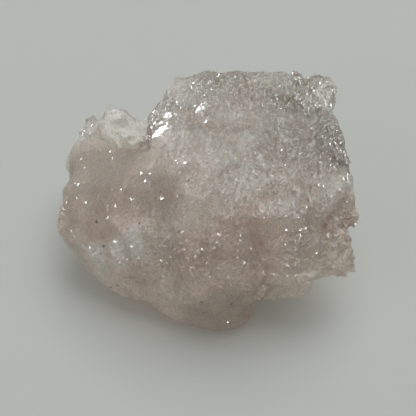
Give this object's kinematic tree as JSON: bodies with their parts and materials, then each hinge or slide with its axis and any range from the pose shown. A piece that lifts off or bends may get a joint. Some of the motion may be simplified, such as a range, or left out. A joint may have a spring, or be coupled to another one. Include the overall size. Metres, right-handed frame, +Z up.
{
  "type": "rough kunzite stone",
  "caption": "Rough lump of pale pink kunzite: a blocky broken crown, smooth etched lobes, small fused crystals and a level face to rest on.",
  "frame": {"origin": "centre of the bounding box at the level of the resting face", "axes": "+Z up from the resting face, +X along the stone's length towards its blocky end, -Y towards its smooth front lobe"},
  "size_m": [0.0514, 0.0402, 0.0311],
  "materials": {
    "kunzite": "rough, cloudy and see-through in thin places, glassy on cleavage faces"
  },
  "bodies": {
    "root": {"kunzite_lump": "kunzite"}
  },
  "joints": []
}
